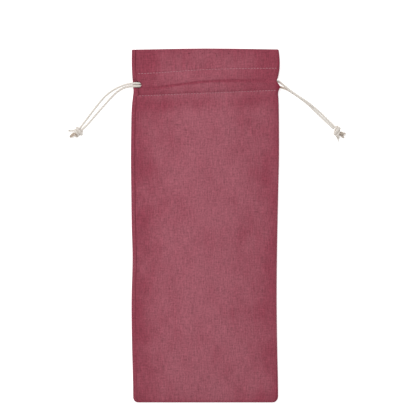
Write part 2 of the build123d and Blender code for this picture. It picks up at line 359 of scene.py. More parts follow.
# %% [markdown]
# ## Cotton cord
#
# The cord is three plies twisted together, a little over 2 mm thick. Its tube is a profile carried
# along the line: a circle with three shallow grooves, turned as it goes, which is what twisting does
# to the plies. The fibres are too fine to model, so they are a bump in the material.

# %% Cord material
CORD_COLOUR = (0.745, 0.70, 0.645, 1.0)
CORD_GROOVE_SHADE = (0.50, 0.455, 0.41, 1.0)
CORD_SOIL_AND_SHADE = (0.47, 0.36, 0.27, 1.0)


def cord_material():
    """Off-white cotton: fibres along the twist, painted shade in the grooves, and a brown tint that is
    painted shade beside the exits and soil on the knots and cut ends.
    """
    material, surface = begin("cotton_cord")
    around = surface.part(0)
    along = surface.part(1)
    groove = surface.shade("groove")
    # a brown tint: painted shade beside the exits, soil on the knots and cut ends
    soil_and_shade = surface.shade("soil_and_shade")
    fibres = surface.noise(0.22, 1.6, 3.0)
    patches = surface.noise(4.0, 9.0)
    twist = (around * (PER_MM * 7.0) + along * (PER_MM * 5.2)).math("SINE")
    # painted shade: the cord's colour is darker in the grooves between its plies
    groove_shaded = groove.mix(CORD_COLOUR, CORD_GROOVE_SHADE)
    soiled_and_shaded = (soil_and_shade * (patches * 0.6 + 0.7)).mix(groove_shaded, CORD_SOIL_AND_SHADE)
    tone = fibres * 0.22 + patches * 0.14 + 0.82
    colour = soiled_and_shaded.scaled(tone)
    height = fibres * 0.6 + twist * 0.25
    bump = height.bump(0.5, 0.0002)
    return end(material, surface, {
        "Base Color": colour,
        "Roughness": fibres * 0.1 + 0.82,
        "Normal": bump,
        "Sheen Weight": 0.3,
        "Specular IOR Level": 0.25,
    })


cotton_cord = cord_material()
print("cord material ready")

# %% [markdown]
# A tube needs a direction to count its angle from. Carrying the last ring's sideways direction over to
# the next keeps the tube from twisting by itself, however the line turns.


# %% Tubes along lines
CORD_SIDES = 20
PLIES = 3
PLY_GROOVE = 0.11
TWIST_PITCH = 11.0  # mm for one whole turn of the plies
RING_STEP = 0.45    # mm between rings


def evenly(points, step):
    """The same line with its points step apart; points in mm."""
    along = distance_along(points)
    places = np.linspace(0, along[-1], max(int(along[-1] / step), 3) + 1)
    return np.stack([np.interp(places, along, points[:, axis]) for axis in range(3)], 1), places


def sideways(points):
    """Two directions across the line at each point, carried along it without twisting."""
    ahead = unit(np.gradient(points, axis=0))
    side = np.zeros_like(points)
    last = np.cross(ahead[0], (0.0, 0.0, 1.0))
    for ring, way in enumerate(ahead):
        last = last - way * (last @ way)
        last = last / np.linalg.norm(last)
        side[ring] = last
    return side, np.cross(side, ahead)


def twisted_tube(points, along, diameter, swell=0.0, sides=CORD_SIDES):
    """A circle carried along the line: radius = r (1 - groove depth) (1 + swell), a groove between plies."""
    side, up = sideways(points)
    angle = np.linspace(0, 2 * math.pi, sides, endpoint=False)
    phase = PLIES / 2 * (angle[None] + 2 * math.pi * along[:, None] / TWIST_PITCH)
    groove = (1 - np.abs(np.sin(phase))) ** 3
    radius = diameter / 2 * (1 - PLY_GROOVE * groove) * (1 + swell)
    ring = np.cos(angle)[None, :, None] * side[:, None] + np.sin(angle)[None, :, None] * up[:, None]
    surface = np.stack([np.broadcast_to(angle * diameter / 2, groove.shape),
                        np.broadcast_to(along[:, None], groove.shape)], -1)
    return points[:, None] + radius[..., None] * ring, surface, groove


def cord_piece(name, grid, surface, groove, soil_and_shade):
    """A closed piece of cord from rings, with a flat cap at each end."""
    rows, sides = groove.shape
    return make_mesh(name, grid, rod_faces(1, rows, sides), surface, cotton_cord,
                     [("groove", groove), ("soil_and_shade", np.broadcast_to(soil_and_shade, groove.shape))])


print("tubes ready")

# %% [markdown]
# Inside the bag, each cord runs along the front channel, turns just inside the far side fold and comes
# back along the back channel. The run and both tails are one line, cut where the cord leaves the bag, so the
# plies go on across the cut.

# %% Cords from tail to tail
FRONT_RUN_Z = 5.85
BACK_RUN_Z = 2.1
RUNS = {
    "left": [
        (-75.5, 144.7, 5.9), (-70.0, 144.9, 5.85), (-62.0, 145.1, 5.75), (-30.0, 145.5, FRONT_RUN_Z),
        (30.0, 145.4, FRONT_RUN_Z), (62.0, 145.1, 5.8), (68.2, 144.9, 5.3), (69.2, 144.5, 4.0),
        (68.2, 144.2, 2.7), (62.0, 144.0, 2.2), (54.0, 143.8, BACK_RUN_Z), (38.0, 142.8, BACK_RUN_Z),
        (0.0, 142.0, BACK_RUN_Z), (-42.0, 142.0, BACK_RUN_Z), (-51.0, 142.0, 3.2), (-58.5, 142.1, 5.3),
        (-65.0, 142.1, 5.7), (-70.5, 142.1, 5.7), (-75.5, 142.1, 5.1),
    ],
    "right": [
        (75.5, 141.4, 1.5), (70.0, 141.4, 1.6), (65.0, 141.4, 2.35), (60.0, 141.4, 3.1), (54.0, 141.4, 4.8),
        (46.0, 141.4, FRONT_RUN_Z), (0.0, 141.4, FRONT_RUN_Z), (-30.0, 139.8, FRONT_RUN_Z),
        (-45.0, 139.1, 5.8), (-58.0, 139.0, 5.6), (-64.4, 139.2, 4.8), (-66.0, 140.4, 3.3),
        (-65.4, 142.2, 2.4), (-60.0, 145.0, BACK_RUN_Z), (-45.0, 146.2, BACK_RUN_Z), (0.0, 146.4, BACK_RUN_Z),
        (38.0, 146.6, BACK_RUN_Z), (64.0, 146.7, 2.35), (70.0, 146.8, 1.75), (75.5, 146.8, 1.9),
    ],
}
EXIT_SHADE_REACH = 9.0  # mm of cord beside an exit that is painted browner as shade
SWELL = 0.16  # how much fatter the soft cord is where it bends out of the cloth
EXIT_BEND = 6.0  # mm from an exit to the middle of the bend inside it
SWELL_REACH = 5.0


def bell(distance, width):
    """1 at distance 0, and less the further away: the exponential of -(distance / width) squared."""
    return np.exp(-(distance / width) ** 2)


def place_on_cord(piece, side, node):
    """Attaches a piece of cord to the body it moves with and hides the node it stands for."""
    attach(piece, side + "_drawcord")
    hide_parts(f"{side}_{node}")
    return piece


def make_cord(side, exit_shade_front, exit_shade_back):
    """One cord as three pieces: front tail, run in the channels and back tail."""
    run = spline_line(side + "_run_line", RUNS[side]) / MM
    front = tail_lines[side + "_front_tail"] / MM
    back = tail_lines[side + "_back_tail"] / MM
    parts = [evenly(line, RING_STEP)[0] for line in (front[::-1], run, back)]
    cuts = np.cumsum([len(part) - 1 for part in parts])
    line = np.concatenate([parts[0], parts[1][1:], parts[2][1:]])
    along = distance_along(line)
    from_exits = np.abs(along[:, None] - along[cuts[:2]][None])
    bends = along[cuts[:2]][None] + np.array([EXIT_BEND, -EXIT_BEND])
    swell = SWELL * bell(along[:, None] - bends, SWELL_REACH).sum(1)[:, None]
    grid, surface, groove = twisted_tube(line, along, CORD_DIAMETER / MM, swell)
    # painted shade: the cord is browner beside its exits, where it comes out from under the cloth
    soil_and_shade = (bell(from_exits, EXIT_SHADE_REACH) * (exit_shade_front, exit_shade_back)).sum(1)[:, None]
    spans = {
        "front_tail": ("tail_front", 0, cuts[0]),
        "channel_cord": ("cord_run", cuts[0], cuts[1]),
        "back_tail": ("tail_back", cuts[1], cuts[2]),
    }
    pieces = {}
    for part, (node, first, last) in spans.items():
        rows = slice(first, last + 1)
        piece = cord_piece(f"{side}_{part}", grid[rows], surface[rows], groove[rows], soil_and_shade[rows])
        pieces[part] = place_on_cord(piece, side, node)
    print(side, "cord,", len(line), "rings, run", round(float(along[cuts[1]] - along[cuts[0]]), 1), "mm")
    return pieces


left_cord = make_cord("left", 0.05, 0.12)
right_cord = make_cord("right", 0.75, 0.2)

# %% [markdown]
# ## Knots and frayed ends
#
# Both strands of a pair go through one overhand knot. What shows of it is the doubled strand wound
# round itself at a slant, so each knot is one wound strand, thick enough to stand for two. The winding
# is an ellipse carried along the knot's own axis; its ends tuck into the middle.

# %% Knots
KNOTS = {
    "left": {
        "place": (-128.3, 96.1, 4.7), "turn": 233.0, "turns": 2.1,
        "slant": 0.12, "wide": 3.9, "start": 0.9,
    },
    "right": {
        "place": (134.2, 96.4, 4.7), "turn": -46.0, "turns": 2.2,
        "slant": -0.34, "wide": 3.8, "start": 0.3,
    },
}
KNOT_TALL = 2.6
STRAND_PITCH = 2.8
KNOT_STRAND = 1.28  # two strands lie together in the knot, so its wraps are fatter than one cord
KNOT_LOWEST = 1.5
KNOT_STEPS = 260


def knot_line(knot):
    """A wound strand: along = pitch times turns, and across it an ellipse that shrinks at both ends."""
    t = np.linspace(-0.5, 0.5, KNOT_STEPS)
    angle = 2 * math.pi * knot["turns"] * t + knot["start"]
    tuck = np.clip((0.5 - np.abs(t)) * knot["turns"] * 2.4, 0, 1)
    tuck = 0.35 + 0.65 * tuck * tuck * (3 - 2 * tuck)
    bulge = 1 - 0.5 * t * t
    across = knot["wide"] * np.sin(angle) * tuck * bulge
    up = KNOT_TALL * np.cos(angle) * tuck * bulge
    along = STRAND_PITCH * knot["turns"] * t * (0.55 + 0.45 * tuck) + knot["slant"] * across
    turn = math.radians(knot["turn"])
    x, y, z = knot["place"]
    return np.stack([
        x + along * math.cos(turn) - across * math.sin(turn),
        y + along * math.sin(turn) + across * math.cos(turn),
        np.maximum(z + up, KNOT_LOWEST),
    ], 1)


def make_knot(side):
    """The wound strand of one knot as a closed tube."""
    line, along = evenly(knot_line(KNOTS[side]), RING_STEP * 0.7)
    grid, surface, groove = twisted_tube(line, along, KNOT_STRAND * CORD_DIAMETER / MM)
    piece = cord_piece(side + "_overhand_knot", grid, surface, groove, np.full((len(line), 1), 0.12))
    return place_on_cord(piece, side, "knot")


left_knot = make_knot("left")
right_knot = make_knot("right")
print("knots made")

# %% [markdown]
# A cut end comes apart into its yarns. Each is a thin bent fibre from the knot outwards; a few dozen,
# fanned at random with a fixed seed, make a tuft.

# %% Frayed ends
FRAYS = {
    # from, to, spread of the ends, thickness, number of fibres, soil and shade tint
    "left": [
        ((-130.4, 94.0, 3.6), (-137.2, 91.0, 1.6), 0.75, 0.5, 46, 0.75),
        ((-131.6, 96.8, 4.0), (-139.6, 96.4, 1.5), 0.22, 0.5, 9, 0.1),
        ((-129.4, 93.6, 3.0), (-130.6, 90.4, 1.3), 0.5, 0.45, 16, 0.35),
    ],
    "right": [
        ((135.6, 94.4, 3.8), (141.4, 92.6, 1.6), 1.35, 0.45, 40, 0.6),
        ((135.8, 93.8, 3.2), (140.4, 89.8, 1.4), 0.8, 0.45, 22, 0.5),
        ((134.2, 93.2, 3.0), (135.6, 86.4, 1.3), 0.8, 0.36, 14, 0.0),
    ],
}
FIBRE_STEPS = 9
FIBRE_SIDES = 6
fray_rng = np.random.default_rng(11)


def tuft(first, last, spread, thick, count, soil_and_shade):
    """Fibres from one place to another, and their brown soil-and-shade tint.

    start + t (finish - start) + a bow that grows and fades, with t from 0 to 1.
    """
    start = np.array(first) + fray_rng.normal(0, 0.45, (count, 3))
    finish = np.array(last) + fray_rng.normal(0, spread, (count, 3)) * (1, 1, 0.4)
    bow = fray_rng.normal(0, 0.7, (count, 3)) + (0.2, 0.5, 0.5)
    t = np.linspace(0, 1, FIBRE_STEPS)[None, :, None]
    line = start[:, None] + t * (finish - start)[:, None] + np.sin(math.pi * t) * bow[:, None]
    line[..., 2] = np.maximum(line[..., 2], thick / 2 + 0.1)
    ahead = unit(np.gradient(line, axis=1))
    side = unit(np.cross(ahead, (0.0, 0.0, 1.0)))
    up = np.cross(side, ahead)
    angle = np.linspace(0, 2 * math.pi, FIBRE_SIDES, endpoint=False)
    radius = thick / 2 * (1 - 0.55 * t ** 3)
    ring = np.cos(angle)[:, None] * side[:, :, None] + np.sin(angle)[:, None] * up[:, :, None]
    points = line[:, :, None] + radius[..., None] * ring
    return points, np.full(points.shape[:3], soil_and_shade)


def make_frays(side):
    """All the fibres of one pair's cut ends as one piece."""
    made = [tuft(*fray) for fray in FRAYS[side]]
    grid = np.concatenate([points for points, _ in made])
    soil_and_shade = np.concatenate([values for _, values in made])
    faces = rod_faces(len(grid), FIBRE_STEPS, FIBRE_SIDES)
    piece = make_mesh(side + "_frayed_ends", grid, faces, grid[..., :2], cotton_cord,
                      [("groove", np.zeros(soil_and_shade.shape)), ("soil_and_shade", soil_and_shade)])
    return place_on_cord(piece, side, "cord_ends")


left_ends = make_frays("left")
right_ends = make_frays("right")

for side, cord, knot, ends in (
    ("left", left_cord, left_knot, left_ends),
    ("right", right_cord, right_knot, right_ends),
):
    for tail in ("front_tail", "back_tail"):
        name = f"{side}_{tail}"

# %% [markdown]
# ## Burgundy cotton
#
# The cloth is a plain weave of slightly uneven yarns. Close up it shows threads going over and under;
# from further off it shows streaks where a yarn is thicker, and soft clouds where the dye took
# differently. Painted shade makes the red deeper towards the side folds, in the neck and in the hollow
# between the cords, and darker at the folds' rims. The pattern reads the cloth's own map, so
# it follows the surface round the folds and when the cords gather it.

# %% Cloth material
WARP_PITCH = 0.66  # mm between the yarns that run along the bag
WEFT_PITCH = 0.62  # mm between the yarns that run across it
CLOTH_PALE = (0.338, 0.097, 0.128, 1.0)
CLOTH_DEEP = (0.258, 0.046, 0.072, 1.0)
CLOTH_RIM_SHADE = (0.215, 0.022, 0.046, 1.0)
CLOTH_SHADE = (0.11, 0.010, 0.022, 1.0)
CLOTH_SLUB = (0.120, 0.020, 0.034, 1.0)


def cloth_material():
    """Plain weave: two families of yarns, over and under by turns, with slubs, clouds and painted shade at
    the edges, creases and seams.
    """
    material, surface = begin("burgundy_cotton")
    x = surface.part(0)
    y = surface.part(1)
    wander = surface.noise(14.0, 14.0, 1.0) * 0.006
    warp = ((x + wander) * (math.pi * PER_MM / WARP_PITCH)).math("SINE")
    weft = ((y + wander) * (math.pi * PER_MM / WEFT_PITCH)).math("SINE")
    over = (warp * weft).between(-0.35, 0.35)
    yarns = warp.math("ABSOLUTE") * over + weft.math("ABSOLUTE") * (1 - over)

    warp_slubs = surface.noise(0.9, 10.0, 3.0)
    weft_slubs = surface.noise(8.0, 0.85, 3.0)
    mottle = surface.noise(1.5, 1.9)
    broad = surface.noise(2.6, 38.0)
    clouds = surface.noise(26.0, 34.0, 3.0)
    specks = surface.noise(0.9, 2.6).between(0.735, 0.80)

    # painted shade, read from the mesh: a deeper red towards the side folds, in the neck and in the hollow
    # between the cords; a darker red at the folds' rims; dark in seam grooves, needle holes and the slit
    pressing_and_shade = surface.shade("pressing_and_shade")
    rim = surface.shade("rim")
    shade = surface.shade("shade")
    deep = (pressing_and_shade + (clouds - 0.5) * 1.5 + (broad - 0.5) * 0.5).between(-0.25, 1.1)
    colour = deep.mix(CLOTH_PALE, CLOTH_DEEP)
    colour = (specks * 0.6).mix(colour, CLOTH_SLUB)
    # painted shade: a darker red at the side folds and along the bottom, where the cloth turns down
    colour = rim.mix(colour, CLOTH_RIM_SHADE)
    colour = shade.mix(colour, CLOTH_SHADE)
    tone = (warp_slubs - 0.5) * 0.85 + (weft_slubs - 0.5) * 0.62 + (mottle - 0.5) * 0.75
    tone = tone + (broad - 0.5) * 0.22 + yarns * 0.24 + 0.84
    colour = colour.scaled(tone)
    height = yarns * 0.7 + warp_slubs * 0.5 + weft_slubs * 0.5
    bump = height.bump(0.55, 0.00016)
    return end(material, surface, {
        "Base Color": colour,
        "Roughness": 0.98 - yarns * 0.12,
        "Normal": bump,
        "Sheen Weight": 0.16,
        "Sheen Tint": (0.9, 0.55, 0.6, 1.0),
        "Specular IOR Level": 0.18,
    })


cotton_cloth = cloth_material()
print("cloth material ready")

# %% [markdown]
# ## The shape of the bag
#
# The bag is a flat tube: a front panel and a back panel, each of which goes round one side fold. A
# point on a panel is given by how far up the bag it is, in mm, and by a place across the panel, which
# runs from its seam over the middle to its fold and round it. All heights and outlines are smooth
# curves through a few chosen places.

# %% Curves through a few places
TOP = 180.0
LOWER_STITCH = 135.7
UPPER_STITCH = 159.7
CLOTH = 0.45


def smooth(at, places, values):
    """A smooth curve through the values: cubic pieces, with slopes taken from the neighbouring places."""
    places = np.array(places, float)
    values = np.array(values, float)
    slope = np.gradient(values, places)
    i = np.clip(np.searchsorted(places, at) - 1, 0, len(places) - 2)
    gap = places[i + 1] - places[i]
    t = np.clip((at - places[i]) / gap, 0, 1)
    return ((2 * t ** 3 - 3 * t ** 2 + 1) * values[i] + (t ** 3 - 2 * t ** 2 + t) * gap * slope[i]
            + (3 * t ** 2 - 2 * t ** 3) * values[i + 1] + (t ** 3 - t ** 2) * gap * slope[i + 1])


OUTLINE = {
    "left": (
        (-180, -160, -125, -80, -29, 0, 36, 69, 102, 118, 128, 135, 141, 148, 157, 168, 180),
        (73.2, 73.4, 74.3, 74.9, 73.9, 74.7, 75.2, 75.5, 75.2, 74.9, 74.3, 73.5, 72.9, 73.4, 74.1, 74.7,
         74.6),
    ),
    "right": (
        (-180, -160, -127, -78, -29, 4, 36, 69, 102, 118, 128, 133, 136.2, 139.2, 142.2, 145.4, 150,
         157, 167, 180),
        (74.4, 74.2, 73.5, 72.9, 73.2, 73.8, 74.5, 75.2, 75.2, 75.0, 74.7, 74.4, 75.2, 76.3, 74.9, 73.0,
         74.2, 75.5, 76.0, 74.9),
    ),
}
CORNER = {"left": 5.5, "right": 6.5}
BOTTOM_ROUND = 1.5


def half_width(side, y):
    """Middle to side fold; the corners beside the bottom seam are quarter circles."""
    places, values = OUTLINE[side]
    radius = CORNER[side]
    into = np.clip(radius - (y + TOP), 0, radius)
    return smooth(y, places, values) - (radius - np.sqrt(radius ** 2 - into ** 2))


SIDE_TOP = ((-178.5, -165, -140, -60, 60, 110, 128, 136, 140, 147, 155, 160, 164, 172, 180),
            (3.0, 4.4, 5.4, 6.0, 6.0, 6.2, 6.6, 7.2, 8.0, 8.1, 7.7, 6.6, 5.6, 4.9, 4.6))
CROWN = ((-180, -176, -168, -150, -120, -60, 60, 105, 124, 135.7, 148, 160, 170, 180),
         (0.0, 0.1, 1.2, 3.8, 5.9, 6.6, 6.4, 5.0, 2.8, 1.3, 1.5, 1.2, 2.1, 3.1))
CROWN_REACH = 71.0


def side_levels(y):
    """Heights of the side folds' underside and top; beside the bottom seam they close in half a circle."""
    near = np.clip(y + TOP, 0, BOTTOM_ROUND)
    half = np.sqrt(BOTTOM_ROUND ** 2 - (BOTTOM_ROUND - near) ** 2)
    closing = y + TOP < BOTTOM_ROUND
    low = np.where(closing, BOTTOM_ROUND - half, 0.0)
    high = np.where(closing, BOTTOM_ROUND + half, smooth(y, *SIDE_TOP))
    return low, high


print("the bag is", round(float(half_width("left", 69.0) + half_width("right", 69.0)), 1), "mm wide at most")

# %% [markdown]
# The sewing of a gift bag is never quite straight: both channel seams climb a little to the right, and
# the mouth is slightly bowed. So rows of the grid follow those seams. Near them the cloth is drawn in,
# with small puckers along the stitches; elsewhere it has low, broad waves.

# %% Slanting seams and small waves
LOWER_SLOPE = 0.041
LOWER_DROP = 0.9
UPPER_LINE = ((-76, -51, 1, 63, 76), (-5.5, -4.3, -0.9, 0.4, 0.5))
TOP_LINE = ((-76, 0, 76), (-0.5, 0.25, -0.4))
wave_rng = np.random.default_rng(5)
WAVES = [
    # size, direction and phase
    (wave_rng.uniform(24, 62), wave_rng.uniform(0, math.pi), wave_rng.uniform(0, 6.28)) for _ in range(7)
]
PUCKERS = [(wave_rng.uniform(4.6, 11.0), wave_rng.uniform(0, 6.28)) for _ in range(6)]
WAVE_HEIGHT = 0.085
PUCKER_HEIGHT = 0.062
STITCH_DRAW = 0.75


def slant(x, v):
    """How far a row bends up at x: each seam's own bend, shared out between the seams."""
    lower = LOWER_SLOPE * x - LOWER_DROP
    upper = smooth(x, *UPPER_LINE)
    top = smooth(x, *TOP_LINE)
    below = np.clip((v - 85) / (LOWER_STITCH - 85), 0, 1)
    below = below * below * (3 - 2 * below)
    between = np.clip((v - LOWER_STITCH) / (UPPER_STITCH - LOWER_STITCH), 0, 1)
    above = np.clip((v - UPPER_STITCH) / (TOP - UPPER_STITCH), 0, 1)
    return below * lower + between * (upper - lower) + above * (top - upper)


def waves(x, v):
    """Low waves in several directions, each a sine across its own direction."""
    total = sum(np.sin(2 * math.pi * (x * math.cos(turn) + v * math.sin(turn)) / size + phase)
                for size, turn, phase in WAVES)
    return WAVE_HEIGHT * total


def puckers(x, v):
    """Upright ripples beside the seams: sines along the seam that fade away from it."""
    total = sum(np.sin(2 * math.pi * x / size + phase) for size, phase in PUCKERS)
    fade = bell(v - LOWER_STITCH, 8.0) + bell(v - UPPER_STITCH, 5.0) + 0.45 * bell(v - 147.5, 9.0)
    return PUCKER_HEIGHT * total * fade


def drawn_in(v):
    """How far the stitches pull the cloth in."""
    return STITCH_DRAW * (bell(v - LOWER_STITCH, 1.5) + 0.8 * bell(v - UPPER_STITCH, 1.3))


FOLDS = [
    # middle x and v, half length, half width, slope, depth
    (-47.0, 126.5, 21.0, 2.4, 0.10, 0.6),
    (-30.0, 119.5, 17.0, 2.6, 0.16, 0.22),
    (52.0, 127.0, 16.0, 2.2, -0.08, 0.22),
    (-58.0, 143.0, 9.0, 1.8, 0.05, 0.30),
    (67.5, -173.0, 6.5, 0.9, -0.75, 0.35),
    (69.5, -168.5, 7.0, 0.9, -1.2, 0.28),
    (62.5, -175.5, 6.0, 0.8, -0.4, 0.25),
    (-70.0, -172.0, 4.0, 0.8, 1.0, 0.25),
]
CORD_VALLEY = ((-72, -51, -30, 1, 40, 63, 76), (144.2, 143.6, 145.4, 147.4, 147.0, 146.1, 145.6))
VALLEY_DEPTH = 0.55


def valley(x, v):
    """The hollow between the two cords under the channel, 1 along its middle."""
    return bell(v - smooth(x, *CORD_VALLEY), 1.25)


def folds(x, v):
    """A few shallow creases, each a bell along and across its own line."""
    total = 0.0
    for middle_x, middle_v, length, width, slope, depth in FOLDS:
        across = (v - middle_v - slope * (x - middle_x)) / math.hypot(1, slope)
        total = total + depth * bell(across, width) * bell(x - middle_x, length)
    return total


print(len(WAVES), "waves and", len(PUCKERS), "ripples")

# %% [markdown]
# The channels are open at one side, where the side seam is left unsewn: on the front at the left, on
# the back at the right. There the cloth's edge stands back round the two strands, and the strip of
# cloth at the fold is pressed down by them. The tables give those shapes along the slit, for the front
# panel (1) and the back panel (-1).

# %% Slits
SLITS = {
    1: ((133.6, 135.9, 136.5, 137.2, 143.2, 144.4, 145.4, 149.6, 150.5, 151.6, 153, 157),
        (0.0, 0.0, 1.7, 2.0, 2.1, 3.4, 4.6, 4.6, 3.8, 1.2, 0.2, 0.0)),
    -1: ((134, 135.9, 137.2, 138.2, 145.5, 147, 149, 151, 153),
         (0.0, 0.0, 4.5, 6.4, 6.4, 4.4, 1.4, 0.0, 0.0)),
}
STRIP = {
    -1: ((134, 135.9, 137, 142, 150, 153, 155.5, 157), (0.0, 1.2, 2.9, 2.9, 2.4, 1.4, 0.3, 0.0)),
    1: ((134, 135.9, 138, 146, 149, 151, 153), (0.0, 0.0, 1.0, 1.0, 0.6, 0.0, 0.0)),
}
PRESSED = {
    -1: ((133, 135.9, 138, 142.2, 144.6, 150.6, 154.0, 157), (0.0, 0.2, 0.9, 2.4, 3.6, 3.6, 0.9, 0.0)),
    1: ((133, 135.9, 138, 148, 151, 153), (0.0, 0.0, 3.2, 3.2, 1.0, 0.0)),
}
SEAM_TO_FOLD = 4.0
SEAM_NEARER = 1.0  # mm by which the seam comes closer to the fold where the cords pull the cloth in
SLIT_FADE = 18.0


def along_slit(table, v):
    places, values = table
    inside = (v > places[0]) & (v < places[-1])
    return np.where(inside, np.maximum(smooth(v, places, values), 0.0), 0.0)


def seam_to_fold(v):
    """From the side fold to the seam beside it: less where the outline is drawn in."""
    return SEAM_TO_FOLD - SEAM_NEARER * bell(v - 146.0, 8.0)


def panel_point(panel, c, v):
    """A point on the outside of a panel (1 front, -1 back), in mm.

    c runs from -1 at the seam to 0 in the middle and 1 where the fold starts, then to 2 round the
    fold (a half circle between the two levels), and to 3 at the other seam.
    """
    c, v = np.broadcast_arrays(np.asarray(c, float), np.asarray(v, float))
    seam_side, fold_side = ("left", "right") if panel == 1 else ("right", "left")
    low, high = side_levels(v)
    pressing_and_shade = along_slit(PRESSED[panel], v)
    own, far = (high, low + pressing_and_shade) if panel == 1 else (low, high - pressing_and_shade)
    radius = np.abs(own - far) / 2
    seam = half_width(seam_side, v) - seam_to_fold(v)
    fold = half_width(fold_side, v)
    flat = fold - radius
    slit = along_slit(SLITS[panel], v)
    fade = np.clip(1 - (1 + c) * seam / SLIT_FADE, 0, None) ** 2
    turn = np.clip(c - 1, 0, 1) * math.pi
    beyond = np.maximum(c - 2, 0) * (seam_to_fold(v) - radius + along_slit(STRIP[panel], v))
    x = np.where(c < 0, c * seam + slit * fade, np.minimum(c, 1) * flat) + radius * np.sin(turn) - beyond
    z = (own + far) / 2 + (own - far) / 2 * np.cos(turn)
    part = np.clip(1 - (x / CROWN_REACH) ** 2, 0, 1)
    inner = part ** 0.5
    facing = np.where(turn > 0, 0.0, 1.0)
    ends = np.clip((v + TOP - BOTTOM_ROUND) / 12, 0, 1)
    world_x = x * panel
    ripples = puckers(world_x, v) * inner
    relief = (waves(world_x, v) * part + ripples - folds(world_x, v)) * ends - drawn_in(v) * inner
    relief = relief - VALLEY_DEPTH * valley(world_x, v) * inner
    if panel == 1:
        z = z + facing * (smooth(v, *CROWN) * part ** 2 + relief)
    else:
        z = z + facing * np.maximum(0.35 * drawn_in(v) * inner + 0.3 * np.abs(ripples), 0)
    return np.stack([world_x, v + slant(world_x, v), z], -1)


def panel_normal(panel, c, v, step=0.004, rise=0.12):
    """The outward direction: the cross product of small steps across and along the panel."""
    across = panel_point(panel, c + step, v) - panel_point(panel, c - step, v)
    along = panel_point(panel, c, v + rise) - panel_point(panel, c, v - rise)
    return unit(np.cross(across, along))


SEAM_HALF = 71.0     # flat width of a panel's half that ends at the seam
FOLD_HALF = 82.0     # flat width of the half that goes round the fold
FLAT = 71.2          # from the middle to where a fold starts
FOLD_ROUND = 9.5     # round the fold
PAST_FOLD = 1.2      # from the fold to the other seam
BACK_APART = 300.0   # puts the back's weave on another part of the pattern


def surface_map(panel, c, v):
    """The cloth's own map in mm: the distance round the bag, and the height up it."""
    c, v = np.broadcast_arrays(np.asarray(c, float), np.asarray(v, float))
    flat = np.where(c < 0, c * SEAM_HALF, np.minimum(c, 1) * FLAT)
    round_fold = np.clip(c - 1, 0, 1) * FOLD_ROUND + np.maximum(c - 2, 0) * PAST_FOLD
    return np.stack([flat + round_fold + BACK_APART * (panel < 0), v], -1)


print("front middle stands", panel_point(1, 0.0, 0.0)[2].round(2), "mm high")

# %% [markdown]
# ## Sheets of cloth
#
# Each panel is cut at the lower seam and down its middle into sheets, because the neck and the body
# follow the cords differently when the bag is pulled shut. A sheet is a closed mesh: its outside, its
# inside a cloth's thickness below, and a narrow edge. The directions of the light are taken from the
# whole panel, so that no line shows where two sheets meet.


# %% Closed sheets
def sheet_mesh(name, outside, inside, directions, surface, shades):
    """A closed sheet from an outside and an inside grid, lit by the given outward directions."""
    rows, columns = outside.shape[:2]
    count = rows * columns
    faces = grid_faces(rows, columns).reshape(-1, 4)
    ids = np.arange(count).reshape(rows, columns)
    rim = np.concatenate([ids[0, :-1], ids[:-1, -1], ids[-1, :0:-1], ids[:0:-1, 0]])
    after = np.roll(rim, -1)
    a, b, d = (outside.reshape(-1, 3)[faces[:, k]] for k in (0, 1, 3))
    facing = (np.cross(b - a, d - a) * directions.reshape(-1, 3)[faces[:, 0]]).sum() > 0
    walls = np.stack([rim, rim + count, after + count, after], -1)
    if not facing:
        faces = faces[:, ::-1]
        walls = walls[:, ::-1]
    faces = np.concatenate([faces, faces[:, ::-1] + count, walls])
    points = np.concatenate([outside.reshape(-1, 3), inside.reshape(-1, 3)])
    doubled = np.concatenate([surface.reshape(-1, 2)] * 2)
    labels = []
    for label, values in shades.items():
        spread = np.broadcast_to(values, (rows, columns))
        labels.append((label, np.tile(spread.ravel(), 2)))
    piece = make_mesh(name, points, faces.tolist(), doubled, cotton_cloth, labels)
    both = np.concatenate([directions.reshape(-1, 3), -directions.reshape(-1, 3)])
    corners = both[faces.ravel()].reshape(-1, 4, 3)
    p = points[faces[-len(walls):]]
    flat = unit(np.cross(p[:, 2] - p[:, 0], p[:, 3] - p[:, 1]))
    corners[-len(walls):] = flat[:, None]
    piece.data.normals_split_custom_set(corners.reshape(-1, 3).tolist())
    return piece


# %% [markdown]
# When both cords are pulled, the left half of the neck follows the right cord and the right half
# follows the left one, because each cord's loop goes round the fold on the far side. The middle stays.
# The pull fades down the body over 15 cm. Here that pull is only worked out; each piece just has its
# transform baked into its mesh.

# %% The cords' pull, and baking the pieces in place
GATHER_REACH = 90.0
FADE_DOWN = 150.0


def follow(piece, half, zone):
    """Bakes the transform of a piece of the left (-1) or right (1) half into its mesh.

    The share with which it would follow its cord grows as half x / reach in the neck; in the body,
    (y - seam) / fade is added to that. That gradient is worked out but not used.
    """
    gradient = np.array([half / GATHER_REACH, 0.0])
    if zone == "body":
        gradient = gradient + np.array([-LOWER_SLOPE, 1.0]) / FADE_DOWN
    "left_drawcord" if half > 0 else "right_drawcord"
    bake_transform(piece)
    return piece


HALF_NAMES = {-1: "left", 1: "right"}
PANEL_NAMES = {1: "front", -1: "back"}

# %% [markdown]
# The columns and rows of the grids are closer together where the cloth does something small: at the
# edges of the seams, at the stitch lines, and at four needle holes just below the mouth.

# %% Rows and columns
PIN_HOLES_X = (-16.4, -2.8, 10.4, 24.0)
PIN_HOLE_DOWN = 4.7
PIN_STEPS = np.array([-0.85, -0.6, -0.4, -0.2, 0.0, 0.2, 0.4, 0.6, 0.85])


def spread_out(start, finish, step):
    return np.linspace(start, finish, max(int(round(abs(finish - start) / step)), 1) + 1)


def without_near(places, others, gap):
    """Places without those closer than gap to one of the others, together with the others, in order."""
    far = np.abs(places[:, None] - others[None]).min(1) > gap
    return np.sort(np.concatenate([places[far], others]))


